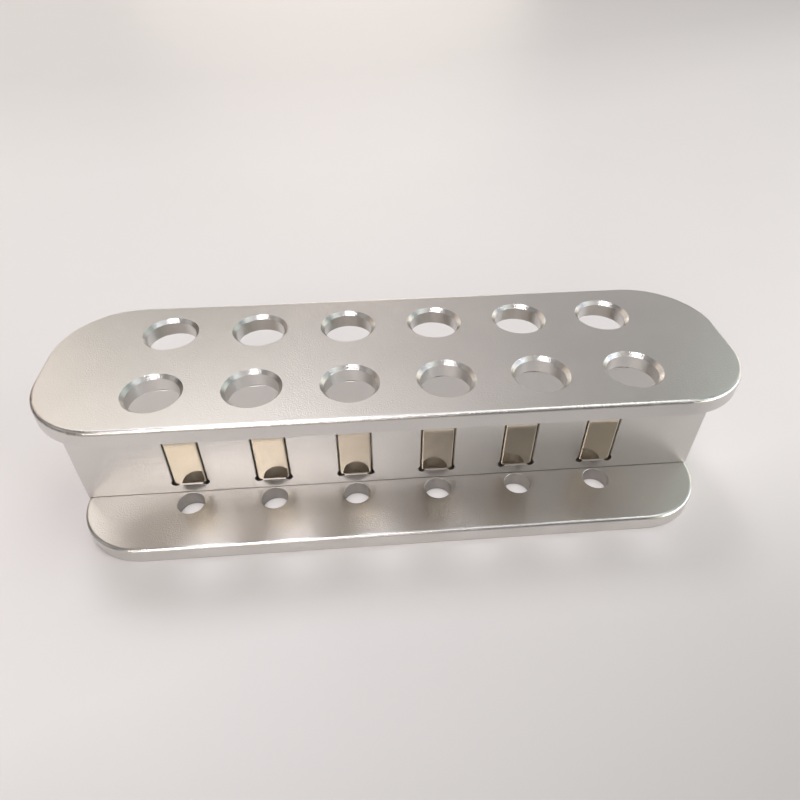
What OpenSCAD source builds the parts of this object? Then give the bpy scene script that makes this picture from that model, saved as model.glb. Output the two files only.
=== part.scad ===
// Magnetic separation rack for twelve microcentrifuge tubes.
//
// An upright bar carries one bar magnet beside each tube, let in flush with its faces.
// A drilled plate is clamped on its upper edge and another under its lower edge, by
// long countersunk screws driven from below. Each tube hangs in a bore of the top plate,
// tangent to the bar, and its tip drops into a smaller hole of the base, closer to the
// magnet, so the tube leans on the magnet's face.
//
// Millimetres. The origin is under the middle of the base, +X runs along the rows,
// -Y is the front and +Z is up.

/* [Tubes] */
// Distance between neighbouring tubes of a row
tube_pitch = 20; // [17:0.5:26]
// Bore of the top plate that takes a tube's barrel
bore_d = 10.9; // [8:0.1:12.5]
// Hole of the base plate that takes a tube's tip
tip_d = 6.5; // [4:0.1:8]
// Distance between the wall of a tip hole and the bar
tip_wall = 0.4; // [0.15:0.05:1]
// Chamfer of a tip hole's upper mouth
tip_break = 0.05; // [0.05:0.05:0.15]

/* [Plates] */
// Thickness of the top plate
top_t = 4; // [3.5:0.1:8]
// Thickness of the base plate
base_t = 4; // [3.5:0.1:8]
// Metal between a tube bore and the long edge of the top plate
edge_wall = 5.8; // [3:0.1:10]
// Step by which the base plate is wider than the top plate on each side
base_lip = 0.3; // [0:0.1:2]
// Length of plate beyond the outer tubes' share of the row
end_margin = 15; // [10:0.5:30]
// Radius of the top plate's corners in plan
top_corner_r = 17; // [6:0.5:18]
// Radius of the base plate's corners in plan
base_corner_r = 16; // [6:0.5:18]
// Radius that rounds the upper rim of each plate
rim_r = 0.85; // [0.3:0.05:1.2]
// Chamfer of the tube bores' upper mouths
bore_chamfer = 0.8; // [0.3:0.05:1.2]
// Small chamfer that breaks every other machined edge
edge_break = 0.3; // [0.1:0.05:0.5]

/* [Bar] */
// Height of the bar, which holds the plates apart
bar_h = 32.3; // [28:0.1:60]
// Web left between the pockets of the two faces
web_t = 1.8; // [1:0.1:6]
// Radius of the bar's upright edges
bar_r = 0.2; // [0.2:0.1:1.5]
// Chamfer that breaks the bar's upper and lower edges
bar_break = 0.1; // [0.05:0.05:0.2]

/* [Magnets] */
// Width of a magnet along the row
magnet_w = 7.7; // [5:0.1:10]
// Height of a magnet
magnet_h = 20; // [10:0.5:24]
// Thickness of a magnet, from its face to its back
magnet_t = 4; // [2:0.25:8]
// Radius of a magnet's corners, seen on its face
magnet_r = 1; // [0.5:0.1:2]
// Chamfer around a magnet's face and back
magnet_break = 0.3; // [0.1:0.05:0.4]
// Metal of the bar below a magnet
magnet_rise = 2.8; // [1:0.1:3.5]
// Gap between a magnet and each side of its pocket, and half the gap above it
magnet_fit = 0.25; // [0.05:0.05:0.5]
// Chamfer along the straight sides of a pocket's mouth
pocket_break = 0.2; // [0.05:0.05:0.3]
// Adhesive between a magnet's back and its pocket's floor
bond_t = 0.1; // [0.05:0.05:0.3]
// Diameter of the cutter that clears the pockets' corners
relief_d = 2; // [1:0.1:3]
// Distance that a cleared corner reaches past the pocket's sides
relief_out = 0.5; // [0.1:0.1:0.5]

/* [Screws] */
// Diameter of a screw's threaded shank
screw_d = 4; // [3.5:0.1:5]
// Diameter of a screw's countersunk head
head_d = 7.5; // [6.5:0.1:9]
// Depth of the head's top below the base plate's underside
head_sink = 0.3; // [0:0.1:1]
// Distance across the flats of the hexagon socket
socket_af = 2.5; // [1.5:0.1:2.5]
// Depth of the hexagon socket
socket_depth = 1.5; // [1:0.1:2.5]
// Gap around a shank in the base plate and the bar
screw_clear = 0.25; // [0.1:0.05:0.5]
// Gap around a thread in the top plate, and around a head on its seat
thread_gap = 0.05; // [0.02:0.01:0.1]
// Metal of the top plate left above a screw hole
blind_skin = 1; // [0.6:0.1:2]
// Gap between a screw's tip and the end of its hole
tip_gap = 0.3; // [0.1:0.1:0.5]

/* [Hidden] */

// Tubes in a row, and screws in the bar: one screw in every other gap between tubes
tube_count = 6;
screw_count = 4;

// Overshoot of every cutter past the face it leaves
over = 1;

// The bar is as thick as two bonded magnets and the web between them
bar_t = 2 * (magnet_t + bond_t) + web_t;

// A tube bore touches the plane of the bar's face, and a tip hole stops short of it
bore_y = bar_t / 2 + bore_d / 2;
tip_y = bar_t / 2 + tip_wall + tip_d / 2;

// Plan of the plates and the bar
plate_l = tube_count * tube_pitch + 2 * end_margin;
top_w = 2 * (bore_y + bore_d / 2 + edge_wall);
base_w = top_w + 2 * base_lip;
bar_l = plate_l;

// Levels above the surface the rack stands on
bar_z = base_t;
top_z = bar_z + bar_h;
magnet_z = bar_z + magnet_rise;

// Pocket of one magnet, which stands on the pocket's lower side
pocket_w = magnet_w + 2 * magnet_fit;
pocket_h = magnet_h + 2 * magnet_fit;
pocket_depth = magnet_t + bond_t;

// Screws, from the sunk head to the end of the blind hole
screw_pitch = 2 * tube_pitch;
thread_depth = top_t - blind_skin;
screw_l = top_z + thread_depth - tip_gap - head_sink;
head_h = (head_d - screw_d) / 2;

// Colours
plate_colour = [0.78, 0.76, 0.74];
bar_colour = [0.74, 0.71, 0.69];
magnet_colour = [0.82, 0.76, 0.66];
screw_colour = [0.55, 0.55, 0.56];

// Facets of a full circle, in general and around the section of a rolled rim
$fa = 4;
$fs = 0.2;
rim_steps = 24;

// Place of one of n equal steps, counted from 1 and centred on the middle of the rack
function step_x(i, n, pitch) = (i - (n + 1) / 2) * pitch;

// Half of an upright section, r from its middle to its edge, with the lower rim
// chamfered and the upper rim chamfered or, if rolled, rounded
module half_section(r, t, top, bottom, rolled) {
    polygon([
        [0, 0],
        [r - bottom, 0],
        [r, bottom],
        [r, t - top],
        [r - top, t],
        [0, t]
    ]);
    if (rolled)
        translate([r - top, t - top])
            circle(r = top, $fn = rim_steps);
}

// Whole upright section of a slab w wide
module slab_section(w, t, top, bottom, rolled) {
    half_section(w / 2, t, top, bottom, rolled);
    mirror([1, 0])
        half_section(w / 2, t, top, bottom, rolled);
}

// Slab with rounded corners, lying on z = 0
module slab(l, w, t, r, top, bottom, rolled = false) {
    for (sx = [-1, 1], sy = [-1, 1])
        translate([sx * (l / 2 - r), sy * (w / 2 - r), 0])
            rotate_extrude()
                half_section(r, t, top, bottom, rolled);
    rotate([90, 0, 90])
        linear_extrude(l - 2 * r, center = true)
            slab_section(w, t, top, bottom, rolled);
    rotate([90, 0, 0])
        linear_extrude(w - 2 * r, center = true)
            slab_section(l, t, top, bottom, rolled);
}

// Cutter for a hole through a plate of thickness t, with both mouths chamfered
module through_hole(d, t, top, bottom) {
    rotate_extrude()
        polygon([
            [0, -over],
            [d / 2 + bottom + over, -over],
            [d / 2, bottom],
            [d / 2, t - top],
            [d / 2 + top + over, t + over],
            [0, t + over]
        ]);
}

// Children at every tube, on both sides of the bar and y away from its middle
module at_tubes(y) {
    for (side = [-1, 1], i = [1 : tube_count])
        translate([step_x(i, tube_count, tube_pitch), side * y, 0])
            children();
}

// Children at every screw
module at_screws() {
    for (i = [1 : screw_count])
        translate([step_x(i, screw_count, screw_pitch), 0, 0])
            children();
}

// Turns the bar's rear side into its front side and back
module facing(side) {
    mirror([0, side == "rear" ? 1 : 0, 0])
        children();
}

// Section of a chamfered pocket of width w, whose mouth is at z = 0
module mouth_section(w) {
    polygon([
        [-w / 2, -pocket_depth],
        [w / 2, -pocket_depth],
        [w / 2, -pocket_break],
        [w / 2 + pocket_break + over, over],
        [-w / 2 - pocket_break - over, over],
        [-w / 2, -pocket_break]
    ]);
}

// Cutter that clears one corner of a pocket
module corner_relief() {
    translate([0, 0, -pocket_depth])
        cylinder(d = relief_d, h = pocket_depth + over);
}

// Cutter for a pocket that opens upwards: a rectangle with four cleared corners
module pocket() {
    inset = relief_d / 2 - relief_out;
    rotate([90, 0, 0])
        linear_extrude(pocket_h, center = true)
            mouth_section(pocket_w);
    rotate([90, 0, 90])
        linear_extrude(pocket_w, center = true)
            mouth_section(pocket_h);
    for (sx = [-1, 1], sy = [-1, 1])
        translate([sx * (pocket_w / 2 - inset), sy * (pocket_h / 2 - inset), 0])
            corner_relief();
}

// Cutter for one pocket of the bar's front face
module front_pocket(i) {
    translate([step_x(i, tube_count, tube_pitch), -bar_t / 2, magnet_z + pocket_h / 2])
        rotate([90, 0, 0])
            pocket();
}

// One magnet of either face, standing in its pocket with its face flush
module bar_magnet(i, side) {
    color(magnet_colour)
        facing(side)
            translate([
                step_x(i, tube_count, tube_pitch),
                -bar_t / 2 + magnet_t,
                magnet_z + magnet_h / 2
            ])
                rotate([90, 0, 0])
                    slab(magnet_w, magnet_h, magnet_t, magnet_r, magnet_break, magnet_break);
}

// One countersunk screw, standing on its head with its thread up
module tie_screw(i) {
    color(screw_colour)
        translate([step_x(i, screw_count, screw_pitch), 0, head_sink])
            difference() {
                rotate_extrude()
                    polygon([
                        [0, 0],
                        [head_d / 2, 0],
                        [screw_d / 2, head_h],
                        [screw_d / 2, screw_l - edge_break],
                        [screw_d / 2 - edge_break, screw_l],
                        [0, screw_l]
                    ]);
                translate([0, 0, -over])
                    cylinder(d = socket_af / cos(30), h = socket_depth + over, $fn = 6);
            }
}

// Top plate: a chamfered bore for every tube, and blind screw holes in its underside
module top_plate() {
    color(plate_colour)
        translate([0, 0, top_z])
            difference() {
                slab(plate_l, top_w, top_t, top_corner_r, rim_r, edge_break, rolled = true);
                at_tubes(bore_y)
                    through_hole(bore_d, top_t, bore_chamfer, edge_break);
                at_screws()
                    translate([0, 0, -over])
                        cylinder(d = screw_d + 2 * thread_gap, h = thread_depth + over);
            }
}

// Base plate: a hole for every tube's tip, and countersunk screw holes from below
module base_plate() {
    seat_d = head_d + 2 * (head_sink + thread_gap);
    hole_d = screw_d + 2 * screw_clear;
    color(plate_colour)
        difference() {
            slab(plate_l, base_w, base_t, base_corner_r, rim_r, edge_break, rolled = true);
            at_tubes(tip_y)
                through_hole(tip_d, base_t, tip_break, edge_break);
            at_screws()
                through_hole(hole_d, base_t, edge_break, (seat_d - hole_d) / 2);
        }
}

// Bar: a pocket for every magnet in both faces, and a clearance hole for every screw
module magnet_bar() {
    color(bar_colour)
        difference() {
            translate([0, 0, bar_z])
                slab(bar_l, bar_t, bar_h, bar_r, bar_break, bar_break);
            for (side = ["front", "rear"], i = [1 : tube_count])
                facing(side)
                    front_pocket(i);
            at_screws()
                translate([0, 0, bar_z])
                    through_hole(screw_d + 2 * screw_clear, bar_h, edge_break, edge_break);
        }
}

module magnet_front_1() bar_magnet(1, "front");
module magnet_front_2() bar_magnet(2, "front");
module magnet_front_3() bar_magnet(3, "front");
module magnet_front_4() bar_magnet(4, "front");
module magnet_front_5() bar_magnet(5, "front");
module magnet_front_6() bar_magnet(6, "front");
module magnet_rear_1() bar_magnet(1, "rear");
module magnet_rear_2() bar_magnet(2, "rear");
module magnet_rear_3() bar_magnet(3, "rear");
module magnet_rear_4() bar_magnet(4, "rear");
module magnet_rear_5() bar_magnet(5, "rear");
module magnet_rear_6() bar_magnet(6, "rear");
module screw_1() tie_screw(1);
module screw_2() tie_screw(2);
module screw_3() tie_screw(3);
module screw_4() tie_screw(4);

top_plate();
magnet_bar();
base_plate();
magnet_front_1();
magnet_front_2();
magnet_front_3();
magnet_front_4();
magnet_front_5();
magnet_front_6();
magnet_rear_1();
magnet_rear_2();
magnet_rear_3();
magnet_rear_4();
magnet_rear_5();
magnet_rear_6();
screw_1();
screw_2();
screw_3();
screw_4();
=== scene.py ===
import math

import bmesh
import bpy
from mathutils import Matrix, Vector


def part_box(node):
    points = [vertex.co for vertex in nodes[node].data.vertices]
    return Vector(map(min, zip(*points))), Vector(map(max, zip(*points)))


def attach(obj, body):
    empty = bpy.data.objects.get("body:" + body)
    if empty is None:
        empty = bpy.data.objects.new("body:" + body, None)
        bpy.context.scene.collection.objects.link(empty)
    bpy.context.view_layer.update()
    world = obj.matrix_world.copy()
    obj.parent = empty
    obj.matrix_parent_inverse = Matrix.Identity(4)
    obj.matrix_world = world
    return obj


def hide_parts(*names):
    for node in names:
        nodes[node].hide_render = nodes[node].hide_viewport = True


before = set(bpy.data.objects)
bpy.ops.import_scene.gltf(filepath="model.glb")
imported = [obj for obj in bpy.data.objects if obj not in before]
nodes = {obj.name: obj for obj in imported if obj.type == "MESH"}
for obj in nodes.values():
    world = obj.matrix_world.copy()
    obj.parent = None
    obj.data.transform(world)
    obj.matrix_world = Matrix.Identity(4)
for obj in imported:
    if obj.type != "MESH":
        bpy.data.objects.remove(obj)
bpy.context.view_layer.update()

# ---------------------------------------------------------------------------
# Base plate: 4 mm aluminium, milled to a rounded outline with a rolled upper
# rim and drilled for the tube tips. It is bead blasted and anodised clear,
# which leaves a fine even sparkle over a soft satin.
# ---------------------------------------------------------------------------
BLAST_TONE = (0.70, 0.68, 0.655, 1)
BLAST_TONE_WORN = (0.67, 0.65, 0.628, 1)
BLAST_ROUGHNESS = (0.28, 0.305)
# Each cloud and grain has its scale and detail, each relief its strength and depth.
BLAST_CLOUD = (60.0, 3.0)
BLAST_GRAIN = (3000.0, 1.0)
BLAST_RELIEF = (1.0, 0.00005)
NOISE_RANGE = (0.3, 0.7)
PATCH_RANGE = (0.35, 0.65)


def new_material(name, metallic):
    mat = bpy.data.materials.new(name)
    mat.use_nodes = True
    tree = mat.node_tree
    shader = tree.nodes["Principled BSDF"]
    shader.inputs["Metallic"].default_value = metallic
    here = tree.nodes.new("ShaderNodeTexCoord").outputs["Object"]
    return mat, tree, shader, here


def noise(tree, vector, scale, detail):
    texture = tree.nodes.new("ShaderNodeTexNoise")
    texture.inputs["Scale"].default_value = scale
    texture.inputs["Detail"].default_value = detail
    tree.links.new(vector, texture.inputs["Vector"])
    return texture.outputs["Fac"]


def spread(tree, source, low, high, over=NOISE_RANGE):
    """Take source from low to high over a stretch of its own, held at both ends."""
    ramp = tree.nodes.new("ShaderNodeMapRange")
    ramp.inputs["From Min"].default_value = over[0]
    ramp.inputs["From Max"].default_value = over[1]
    ramp.inputs["To Min"].default_value = low
    ramp.inputs["To Max"].default_value = high
    tree.links.new(source, ramp.inputs["Value"])
    return ramp.outputs["Result"]


def blend(tree, share, first, second):
    """Mix two tones, each a colour or another node's output."""
    mix = tree.nodes.new("ShaderNodeMix")
    mix.data_type = "RGBA"
    # Inputs 6 and 7 and output 2 are the node's sockets for colour.
    for socket, tone in ((mix.inputs[6], first), (mix.inputs[7], second)):
        if isinstance(tone, tuple):
            socket.default_value = tone
        else:
            tree.links.new(tone, socket)
    tree.links.new(share, mix.inputs[0])
    return mix.outputs[2]


def mottle(tree, cloud, tone, worn):
    """Soft patches of a second tone over the first."""
    return blend(tree, spread(tree, cloud, 0.0, 1.0, PATCH_RANGE), tone, worn)


def relief(tree, shader, height, strength, depth):
    bump = tree.nodes.new("ShaderNodeBump")
    bump.inputs["Strength"].default_value = strength
    bump.inputs["Distance"].default_value = depth
    tree.links.new(height, bump.inputs["Height"])
    tree.links.new(bump.outputs["Normal"], shader.inputs["Normal"])


def roughen(tree, shader, grain, roughness, strength, depth):
    """Let one fine grain vary the roughness and raise the surface."""
    tree.links.new(spread(tree, grain, *roughness), shader.inputs["Roughness"])
    relief(tree, shader, grain, strength, depth)


def dress(piece, mat):
    piece.data.materials.clear()
    piece.data.materials.append(mat)


plate_mat, tree, shader, here = new_material("blasted_anodised_aluminium", 1.0)
cloud = noise(tree, here, *BLAST_CLOUD)
satin = mottle(tree, cloud, BLAST_TONE, BLAST_TONE_WORN)
tree.links.new(satin, shader.inputs["Base Color"])
grain = noise(tree, here, *BLAST_GRAIN)
roughen(tree, shader, grain, BLAST_ROUGHNESS, *BLAST_RELIEF)
dress(nodes["base_plate"], plate_mat)

# ---------------------------------------------------------------------------
# Bar: solid aluminium on edge, with a pocket and round corner reliefs for
# every magnet. It is fly cut and anodised without blasting, so it is smoother
# than the plates. A painted shade along its lowest edge stands for the shadow
# in the gap where it meets the base.
# ---------------------------------------------------------------------------
BAR_TONE = (0.70, 0.68, 0.66, 1)
BAR_TONE_WORN = (0.68, 0.66, 0.638, 1)
BAR_ROUGHNESS = (0.34, 0.37)
BAR_CLOUD = (90.0, 3.0)
BAR_GRAIN = (2500.0, 2.0)
BAR_RELIEF = (1.0, 0.00003)
JOINT_SHADE_TONE = (0.12, 0.115, 0.11, 1)
JOINT_SHADE_H = 0.00008
JOINT_SHADE_FADE = 0.00012


def axes(tree, here):
    """The X, Y and Z of a point, each as an output."""
    split = tree.nodes.new("ShaderNodeSeparateXYZ")
    tree.links.new(here, split.inputs["Vector"])
    return split.outputs["X"], split.outputs["Y"], split.outputs["Z"]


bar_mat, tree, shader, here = new_material("satin_anodised_aluminium", 1.0)
cloud = noise(tree, here, *BAR_CLOUD)
satin = mottle(tree, cloud, BAR_TONE, BAR_TONE_WORN)
# Painted shade: a dark band at the foot of the bar stands for the shadow in the gap above
# the base.
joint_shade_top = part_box("magnet_bar")[0].z + JOINT_SHADE_H
height = axes(tree, here)[2]
joint_shade = spread(tree, height, 1.0, 0.0, (joint_shade_top, joint_shade_top + JOINT_SHADE_FADE))
tree.links.new(blend(tree, joint_shade, satin, JOINT_SHADE_TONE), shader.inputs["Base Color"])
grain = noise(tree, here, *BAR_GRAIN)
roughen(tree, shader, grain, BAR_ROUGHNESS, *BAR_RELIEF)
dress(nodes["magnet_bar"], bar_mat)

# ---------------------------------------------------------------------------
# Magnets: sintered neodymium blocks, their edges tumbled round before the
# bright nickel plating. Each is bonded in its pocket, flush with the bar.
# ---------------------------------------------------------------------------
MAGNET_CORNER = 0.001
MAGNET_RIM = 0.0004
CORNER_STEPS = 8
RIM_STEPS = 6
NICKEL_TONE = (0.715, 0.64, 0.525, 1)
NICKEL_TONE_WORN = (0.69, 0.615, 0.50, 1)
NICKEL_ROUGHNESS = (0.05, 0.09)
NICKEL_CLOUD = (180.0, 4.0)
NICKEL_WAVE = (420.0, 2.0)
NICKEL_RELIEF = (0.06, 0.00004)


def ease(bm, edges, radius, steps):
    bmesh.ops.bevel(
        bm, geom=edges, offset=radius, offset_type="OFFSET", segments=steps,
        profile=0.5, affect="EDGES", material=-1, clamp_overlap=True,
    )


def new_piece(bm, name):
    mesh = bpy.data.meshes.new(name)
    bm.to_mesh(mesh)
    bm.free()
    piece = bpy.data.objects.new(name, mesh)
    bpy.context.collection.objects.link(piece)
    return piece


def smooth_piece(bm, name):
    """A closed shell with outward faces, shaded smooth with its flats kept flat."""
    bmesh.ops.recalc_face_normals(bm, faces=bm.faces)
    for face in bm.faces:
        face.smooth = True
    piece = new_piece(bm, name)
    even = piece.modifiers.new("even_normals", "WEIGHTED_NORMAL")
    even.weight = 100
    return piece


def in_long_face(edge):
    """True for an edge of the front or rear face, false for one between them."""
    return edge.verts[0].co.y * edge.verts[1].co.y > 0


def tumbled_block(name, low, high):
    bm = bmesh.new()
    bmesh.ops.create_cube(bm, size=1.0)
    bmesh.ops.scale(bm, vec=high - low, verts=bm.verts)
    corners = [edge for edge in bm.edges if not in_long_face(edge)]
    ease(bm, corners, MAGNET_CORNER, CORNER_STEPS)
    rims = [edge for edge in bm.edges if in_long_face(edge)]
    ease(bm, rims, MAGNET_RIM, RIM_STEPS)
    bmesh.ops.translate(bm, vec=(low + high) / 2, verts=bm.verts)
    return smooth_piece(bm, name)


magnet_mat, tree, shader, here = new_material("bright_nickel_plate", 1.0)
cloud = noise(tree, here, *NICKEL_CLOUD)
nickel = mottle(tree, cloud, NICKEL_TONE, NICKEL_TONE_WORN)
tree.links.new(nickel, shader.inputs["Base Color"])
tree.links.new(spread(tree, cloud, *NICKEL_ROUGHNESS), shader.inputs["Roughness"])
relief(tree, shader, noise(tree, here, *NICKEL_WAVE), *NICKEL_RELIEF)

for name in sorted(n for n in nodes if n.startswith(("magnet_front_", "magnet_rear_"))):
    block = tumbled_block(name.replace("magnet_", "block_"), *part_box(name))
    dress(block, magnet_mat)
    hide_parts(name)
    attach(block, "root")

# ---------------------------------------------------------------------------
# Top plate: the same sheet as the base, a little narrower, with a chamfered
# bore for every tube. It is blasted and anodised together with the base.
# ---------------------------------------------------------------------------
dress(nodes["top_plate"], plate_mat)

# ---------------------------------------------------------------------------
# Tie screws: four M4 countersunk socket screws in stainless steel, from below
# through base and bar into the top plate. Only their heads can be seen.
# ---------------------------------------------------------------------------
SHANK_R = 0.002
NECK = 0.0001
HEAD_R = 0.00375
HEAD_H = 0.00175
SOCKET_R = 0.00125
SOCKET_DEEP = 0.0015
DRILL_POINT = 0.0004
RING_POINTS = 48
# Points of each broken edge: how far off its radius, and how far along the screw.
SHANK_END = ((0.0004, 0.0), (0.00005, 0.0004), (0.0, 0.0006))
HEAD_EDGE = ((0.000048, 0.000156), (0.000036, 0.00007), (0.00012, 0.00002), (0.0003, 0.0))
SOCKET_EDGE = ((0.0003, 0.0), (0.00012, 0.00003), (0.0, 0.0002))
STEEL_TONE = (0.56, 0.55, 0.54, 1)
STEEL_TONE_DULL = (0.50, 0.49, 0.48, 1)
STEEL_ROUGHNESS = (0.22, 0.34)
STEEL_CLOUD = (400.0, 3.0)
STEEL_GRAIN = (3000.0, 2.0)
STEEL_RELIEF = (0.2, 0.00002)


def screw_rings(low_z, high_z):
    """Radius, height and six-sided or round, from the shank's end into the socket."""
    rings = [(SHANK_R - inward, high_z - down, False) for inward, down in SHANK_END]
    rings.append((SHANK_R, low_z + HEAD_H + NECK, False))
    rings.append((SHANK_R + NECK, low_z + HEAD_H - NECK, False))
    rings += [(HEAD_R - inward, low_z + up, False) for inward, up in HEAD_EDGE]
    rings += [(SOCKET_R + outward, low_z + up, True) for outward, up in SOCKET_EDGE]
    rings.append((SOCKET_R, low_z + SOCKET_DEEP, True))
    return rings


def draw_rim(bm):
    """Draw a new rim out of the open one, and give back its points."""
    rim = [edge for edge in bm.edges if edge.is_boundary]
    drawn = bmesh.ops.extrude_edge_only(bm, edges=rim)["geom"]
    return [part for part in drawn if isinstance(part, bmesh.types.BMVert)]


def place_ring(verts, radius, z, six_sided):
    for vert in verts:
        angle = math.atan2(vert.co.y, vert.co.x)
        reach = radius
        if six_sided:
            reach = radius / math.cos(angle % (math.pi / 3) - math.pi / 6)
        vert.co = (reach * math.cos(angle), reach * math.sin(angle), z)


def socket_screw(name, low, high):
    """One rim, drawn from the shank's end over the head to the socket's floor."""
    rings = screw_rings(low.z, high.z)
    bm = bmesh.new()
    bmesh.ops.create_circle(bm, segments=RING_POINTS, radius=SHANK_R, cap_ends=True)
    place_ring(bm.verts, *rings[0])
    for ring in rings[1:]:
        place_ring(draw_rim(bm), *ring)
    drill_point = (0.0, 0.0, low.z + SOCKET_DEEP + DRILL_POINT)
    bmesh.ops.pointmerge(bm, verts=draw_rim(bm), merge_co=drill_point)
    bmesh.ops.translate(bm, vec=((low.x + high.x) / 2, 0.0, 0.0), verts=bm.verts)
    return smooth_piece(bm, name)


screw_mat, tree, shader, here = new_material("stainless_steel", 1.0)
steel = blend(tree, noise(tree, here, *STEEL_CLOUD), STEEL_TONE, STEEL_TONE_DULL)
tree.links.new(steel, shader.inputs["Base Color"])
grain = noise(tree, here, *STEEL_GRAIN)
roughen(tree, shader, grain, STEEL_ROUGHNESS, *STEEL_RELIEF)

for name in sorted(n for n in nodes if n.startswith("screw_")):
    screw = socket_screw("socket_" + name, *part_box(name))
    dress(screw, screw_mat)
    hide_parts(name)
    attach(screw, "root")

# ---------------------------------------------------------------------------
# Bench top: a pale sheet, far larger than the view. Painted shade darkens it
# towards the front and the far back, with a painted shadow in a strip along
# the rack's foot. Light painted into it, seen only by the camera, brightens it
# inside the open tip holes.
# ---------------------------------------------------------------------------
BENCH_HALF = 1.1
BENCH_TONE = (0.72, 0.692, 0.681, 1)
BENCH_SHADE = (0.462, 0.446, 0.437, 1)
BENCH_ROUGHNESS = 0.5
BENCH_CLOUD = (25.0, 3.0)
BENCH_GRAIN = (900.0, 2.0)
BENCH_RELIEF = (0.05, 0.00005)
# The share of the bright tone that the cloud and each stretch of painted shade keep, and
# where each stretch fades.
CLOUD_SHARE = 0.97
FRONT_SHADE_SHARE = 0.05
FRONT_OVER = (-0.100, -0.032)
FRONT_SLANT = 0.35
BACK_SHADE_SHARE = 0.70
BACK_OVER = (0.22, 0.40)
BACK_SLANT = 0.5
FOOT_SHADOW_SHARE = 0.86
FOOT_SHADOW_X = -0.004
FOOT_SHADOW_Y = -0.0295
FOOT_SHADOW_OVER_X = (0.050, 0.066)
FOOT_SHADOW_OVER_Y = (0.0, 0.006)
TUBES_IN_ROW = 6
TUBE_PITCH = 0.020
TIP_ROW = 0.00865
GLOW_R = 0.0033
GLOW_MIDDLE = 0.432
GLOW_EDGE = 0.252
PAINTED_GLOW_TONE = (1.0, 0.965, 0.97, 1)


def compute(tree, operation, first, second=0.0):
    """One sum on two values, each a number or another node's output."""
    step = tree.nodes.new("ShaderNodeMath")
    step.operation = operation
    for socket, value in zip(step.inputs, (first, second)):
        if isinstance(value, float):
            socket.default_value = value
        else:
            tree.links.new(value, socket)
    return step.outputs["Value"]


def product(tree, first, *others):
    for other in others:
        first = compute(tree, "MULTIPLY", first, other)
    return first


def distance(tree, value, middle):
    return compute(tree, "ABSOLUTE", compute(tree, "SUBTRACT", value, middle))


bm = bmesh.new()
bmesh.ops.create_grid(bm, x_segments=1, y_segments=1, size=BENCH_HALF)
bench = new_piece(bm, "bench")

bench_mat, tree, shader, here = new_material("pale_bench", 0.0)
shader.inputs["Roughness"].default_value = BENCH_ROUGHNESS
relief(tree, shader, noise(tree, here, *BENCH_GRAIN), *BENCH_RELIEF)

x, y = axes(tree, here)[:2]
# Painted shade: the bench darkens towards the front and towards the far back.
front_line = compute(tree, "SUBTRACT", y, product(tree, x, FRONT_SLANT))
front = spread(tree, front_line, FRONT_SHADE_SHARE, 1.0, FRONT_OVER)
to_right = compute(tree, "MAXIMUM", x, 0.0)
back_line = compute(tree, "SUBTRACT", y, product(tree, to_right, BACK_SLANT))
back = spread(tree, back_line, 1.0, BACK_SHADE_SHARE, BACK_OVER)
# Painted shadow: a soft dark strip on the bench just in front of the rack's foot.
foot_shadow_x = spread(tree, distance(tree, x, FOOT_SHADOW_X), FOOT_SHADOW_SHARE, 1.0, FOOT_SHADOW_OVER_X)
foot_shadow_y = spread(tree, distance(tree, y, FOOT_SHADOW_Y), FOOT_SHADOW_SHARE, 1.0, FOOT_SHADOW_OVER_Y)
foot = compute(tree, "MAXIMUM", foot_shadow_x, foot_shadow_y)
cloud = spread(tree, noise(tree, here, *BENCH_CLOUD), CLOUD_SHARE, 1.0)
lightness = product(tree, front, back, foot, cloud)
tree.links.new(blend(tree, lightness, BENCH_SHADE, BENCH_TONE), shader.inputs["Base Color"])

# Painted light: seen only by the camera, the bench shines inside the open tip holes.
across = compute(tree, "FLOORED_MODULO", x, TUBE_PITCH)
across = distance(tree, across, TUBE_PITCH / 2)
along = distance(tree, distance(tree, y, 0.0), TIP_ROW)
away = compute(tree, "ADD", product(tree, across, across), product(tree, along, along))
in_hole = compute(tree, "LESS_THAN", away, GLOW_R ** 2)
row_half = TUBES_IN_ROW * TUBE_PITCH / 2
in_row = compute(tree, "LESS_THAN", distance(tree, x, 0.0), row_half)
seen = tree.nodes.new("ShaderNodeLightPath").outputs["Is Camera Ray"]
fading = spread(tree, away, GLOW_MIDDLE, GLOW_EDGE, (0.0, GLOW_R ** 2))
painted_glow = product(tree, in_hole, in_row, seen, fading)
shader.inputs["Emission Color"].default_value = PAINTED_GLOW_TONE
tree.links.new(painted_glow, shader.inputs["Emission Strength"])
dress(bench, bench_mat)

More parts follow.
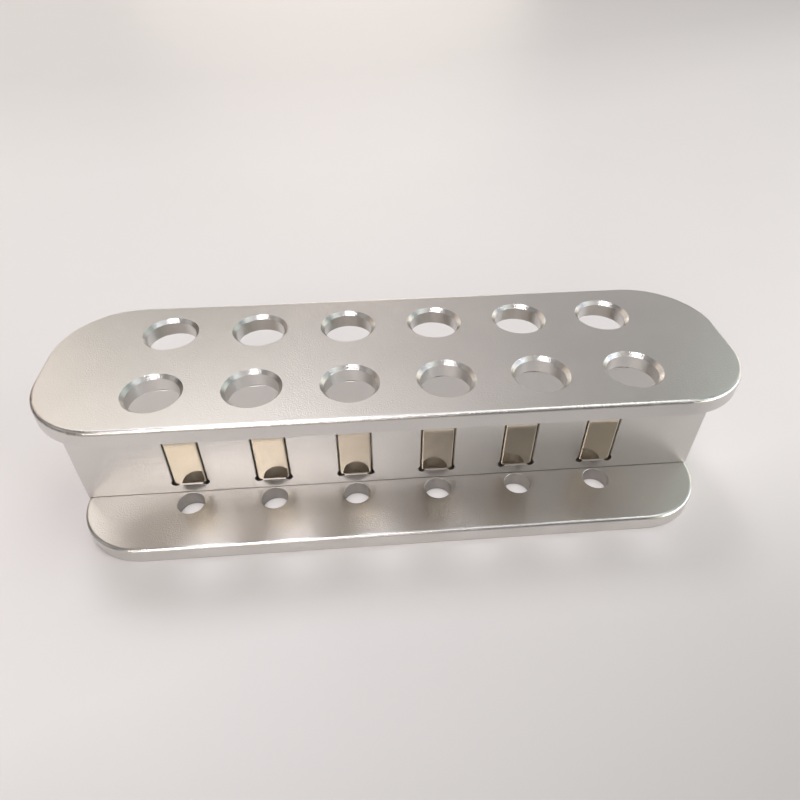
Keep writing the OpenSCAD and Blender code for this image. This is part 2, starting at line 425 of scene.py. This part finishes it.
# ---------------------------------------------------------------------------
# Light: softboxes round the bench, in a dim even room. Each row gives the
# compass turn (0 behind the rack, 90 to its right) and the lift in degrees,
# the width in metres, the watts and the colour.
# ---------------------------------------------------------------------------
LAMP_DISTANCE = 1.6
LAMPS = (
    ("key", -26, 68, 0.40, 4.8, (0.90, 0.90, 1.0)),
    ("high_front", 200, 64, 0.56, 8.0, (1.0, 0.98, 1.0)),
    ("front_left", 210, 26, 0.62, 3.5, (1.0, 0.92, 0.82)),
    ("front", 190, 26, 0.62, 3.6, (1.0, 0.90, 0.86)),
    ("front_right", 140, 48, 0.50, 0.6, (1.0, 0.93, 0.86)),
    ("right_window", 120, 6, 0.90, 10.5, (1.0, 0.94, 0.82)),
    ("right_wall", 90, 6, 0.90, 5.7, (0.84, 0.93, 1.0)),
    ("right_card", 110, 26, 0.62, 2.6, (0.78, 0.84, 1.0)),
    ("right_high", 115, 44, 0.50, 0.9, (0.9, 1.0, 0.85)),
    ("right_sky", 60, 28, 0.92, 1.6, (0.80, 1.0, 0.92)),
    ("right_ceiling", 100, 68, 0.85, 3.4, (0.80, 0.88, 1.0)),
    ("back_ceiling", 60, 68, 0.85, 2.6, (1.0, 0.96, 0.80)),
    ("back_right_low", 60, 6, 0.90, 3.1, (1.0, 0.88, 0.80)),
    ("back_low", 0, 6, 0.90, 4.7, (1.0, 0.90, 0.80)),
    ("back_left_low", 330, 6, 0.90, 2.5, (1.0, 0.97, 0.90)),
    ("back_right", 30, 28, 0.92, 1.0, (1.0, 0.95, 0.94)),
    ("back", 0, 48, 0.88, 1.55, (1.0, 0.93, 0.91)),
    ("back_left", 330, 48, 0.88, 2.1, (1.0, 0.96, 0.88)),
    ("left_sky", 310, 28, 0.92, 1.7, (1.0, 0.82, 0.70)),
    ("left", 262, 32, 0.92, 1.4, (1.0, 0.96, 0.92)),
)
ROOM_TONE = (0.80, 0.79, 0.785, 1)
ROOM_FILL = 0.03

for name, turn, lift, width, watts, colour in LAMPS:
    lamp = bpy.data.lights.new(name, "AREA")
    lamp.shape = "DISK"
    lamp.size = width
    lamp.energy = watts
    lamp.color = colour
    turn, lift = math.radians(turn), math.radians(lift)
    level = math.cos(lift)
    outward = Vector((math.sin(turn) * level, math.cos(turn) * level, math.sin(lift)))
    softbox = bpy.data.objects.new(name, lamp)
    bpy.context.collection.objects.link(softbox)
    softbox.location = outward * LAMP_DISTANCE
    softbox.rotation_euler = outward.to_track_quat("Z", "Y").to_euler()
    softbox.visible_camera = False

world = bpy.data.worlds.new("room")
bpy.context.scene.world = world
world.use_nodes = True
tree = world.node_tree
sky = tree.nodes["Background"]
sky.inputs["Color"].default_value = ROOM_TONE
seen = tree.nodes.new("ShaderNodeLightPath").outputs["Is Camera Ray"]
tree.links.new(spread(tree, seen, ROOM_FILL, 1.0, (0.0, 1.0)), sky.inputs["Strength"])

# ---------------------------------------------------------------------------
# View: the rack seen from the front, slightly from the left and from above.
# The three directions are the view's right, its down and the line of sight.
# ---------------------------------------------------------------------------
CAMERA_PLACE = (-0.0083549, -0.1111146, 0.1222204)
CAMERA_RIGHT = Vector((0.996537, -0.083073, 0.003454))
CAMERA_DOWN = Vector((-0.051704, -0.651696, -0.756716))
CAMERA_SIGHT = Vector((0.065114, 0.753917, -0.653734))
SENSOR_WIDTH = 36.0
LENS_LENGTH = 28.304
NEAREST = 0.01
FARTHEST = 20.0

camera = bpy.data.objects.new("camera", bpy.data.cameras.new("camera"))
bpy.context.collection.objects.link(camera)
camera.data.sensor_width = SENSOR_WIDTH
camera.data.lens = LENS_LENGTH
camera.data.clip_start = NEAREST
camera.data.clip_end = FARTHEST
turned = Matrix((CAMERA_RIGHT, -CAMERA_DOWN, -CAMERA_SIGHT)).transposed().to_4x4()
camera.matrix_world = Matrix.Translation(CAMERA_PLACE) @ turned
bpy.context.scene.camera = camera
bpy.context.scene.view_settings.view_transform = "Standard"
